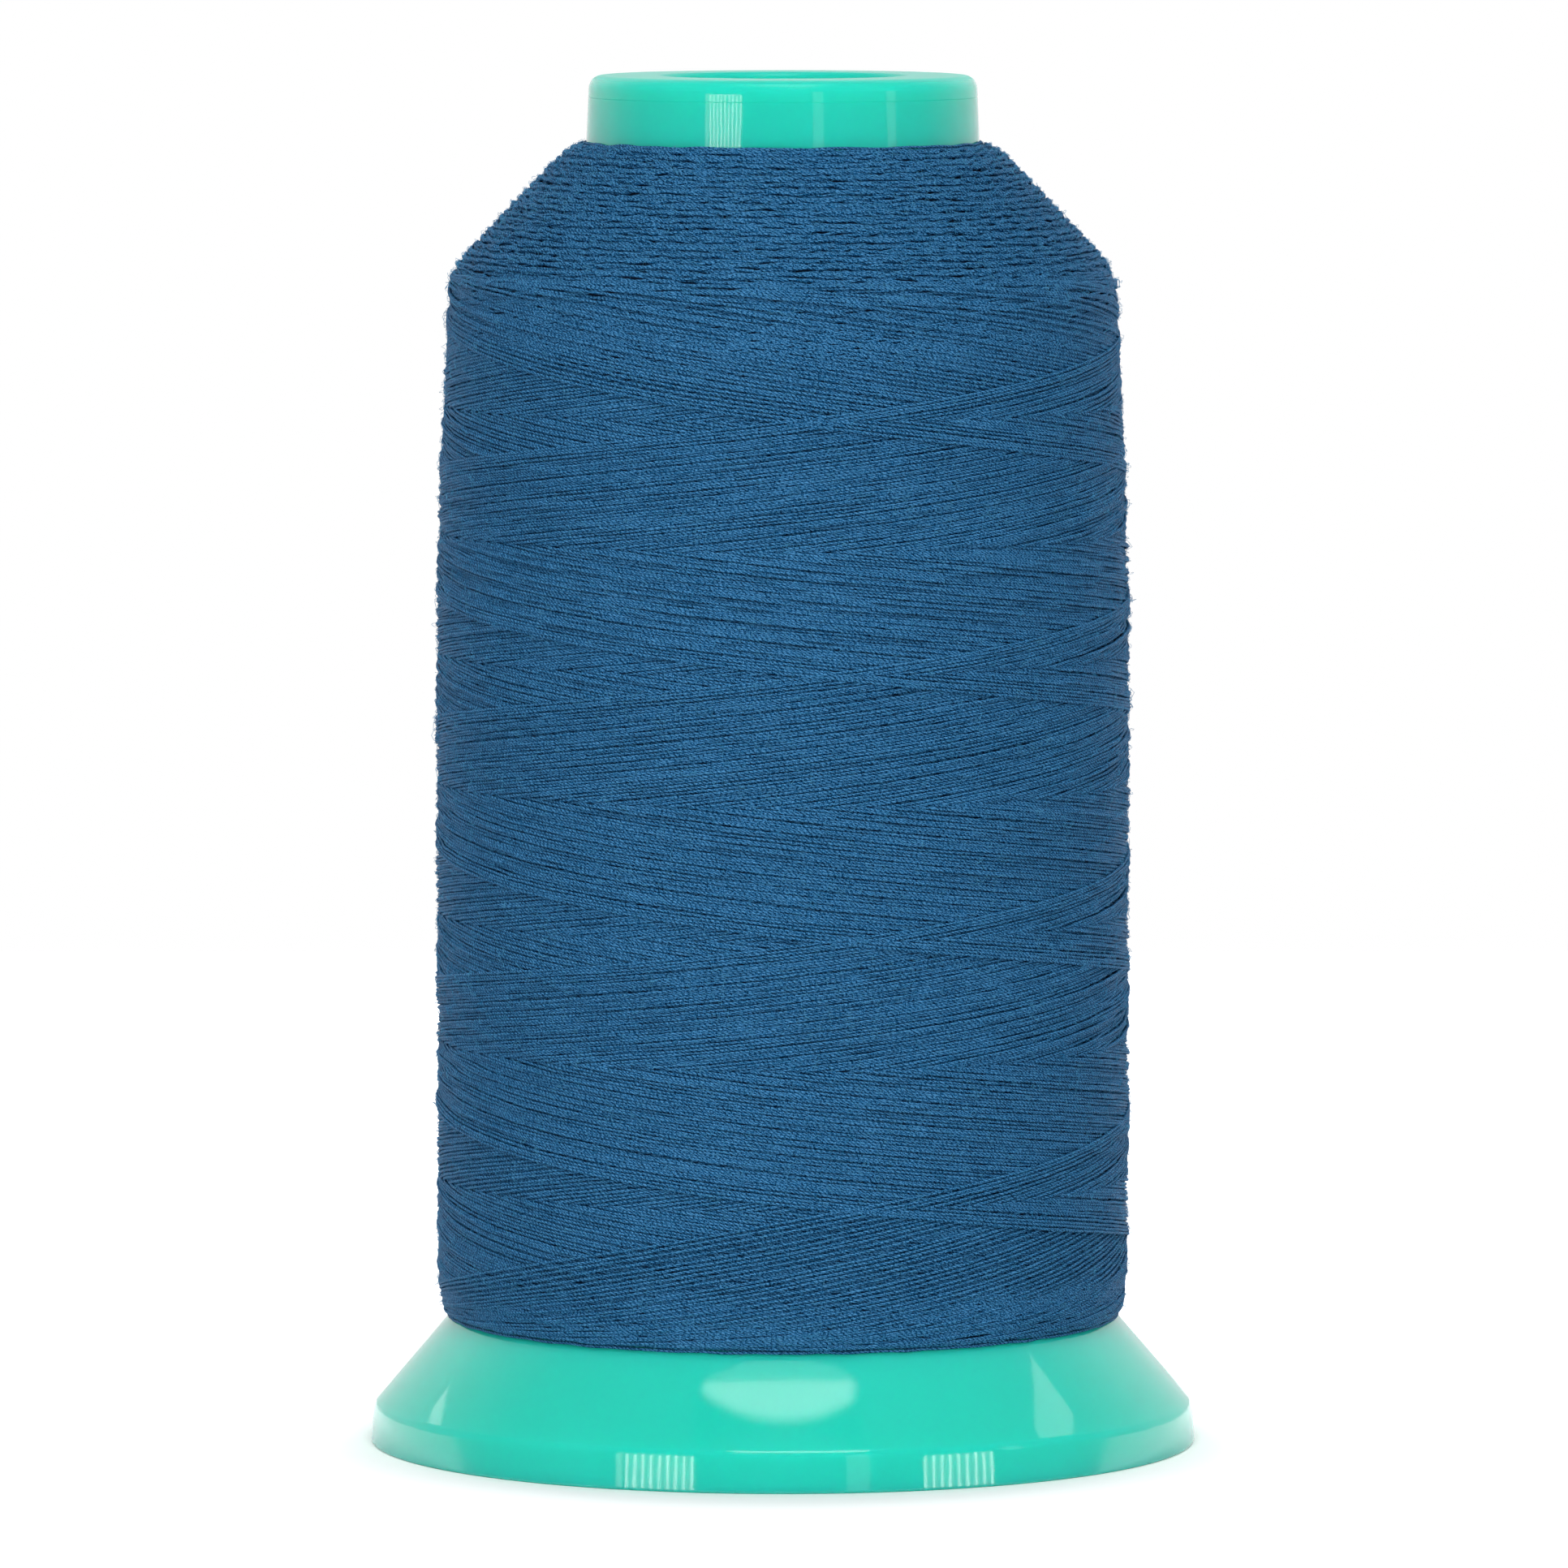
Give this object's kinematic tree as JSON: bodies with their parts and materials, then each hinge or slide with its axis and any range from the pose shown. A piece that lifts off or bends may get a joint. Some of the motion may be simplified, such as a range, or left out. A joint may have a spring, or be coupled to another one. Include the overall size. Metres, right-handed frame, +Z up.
{
  "type": "spool of thread",
  "caption": "King spool of sewing thread: moulded tube with a bare head and flared foot, cross-wound thread package, and a snap base in the foot that traps the thread's tail.",
  "frame": {"origin": "middle of the foot, on the surface that the spool stands on", "axes": "+Z up along the spool's axis, from the flared foot to the bare head"},
  "size_m": [0.0724, 0.0724, 0.12],
  "materials": {
    "spool_plastic": "glossy, slightly translucent moulded teal polypropylene",
    "base_plastic": "glossy, slightly translucent moulded teal polypropylene",
    "thread": "spun polyester sewing thread, wound, with a light surface fuzz",
    "outer_thread": "spun polyester sewing thread, plied twist"
  },
  "bodies": {
    "base": {"snap_base": "base_plastic"},
    "spool": {"spool_tube": "spool_plastic", "thread_package": "thread", "outer_winding": "outer_thread"}
  },
  "joints": [
    {"name": "base_snap", "type": "slide", "parent": "base", "child": "spool", "axis": [0, 0, 1], "range_m": [0, 0.003]}
  ]
}
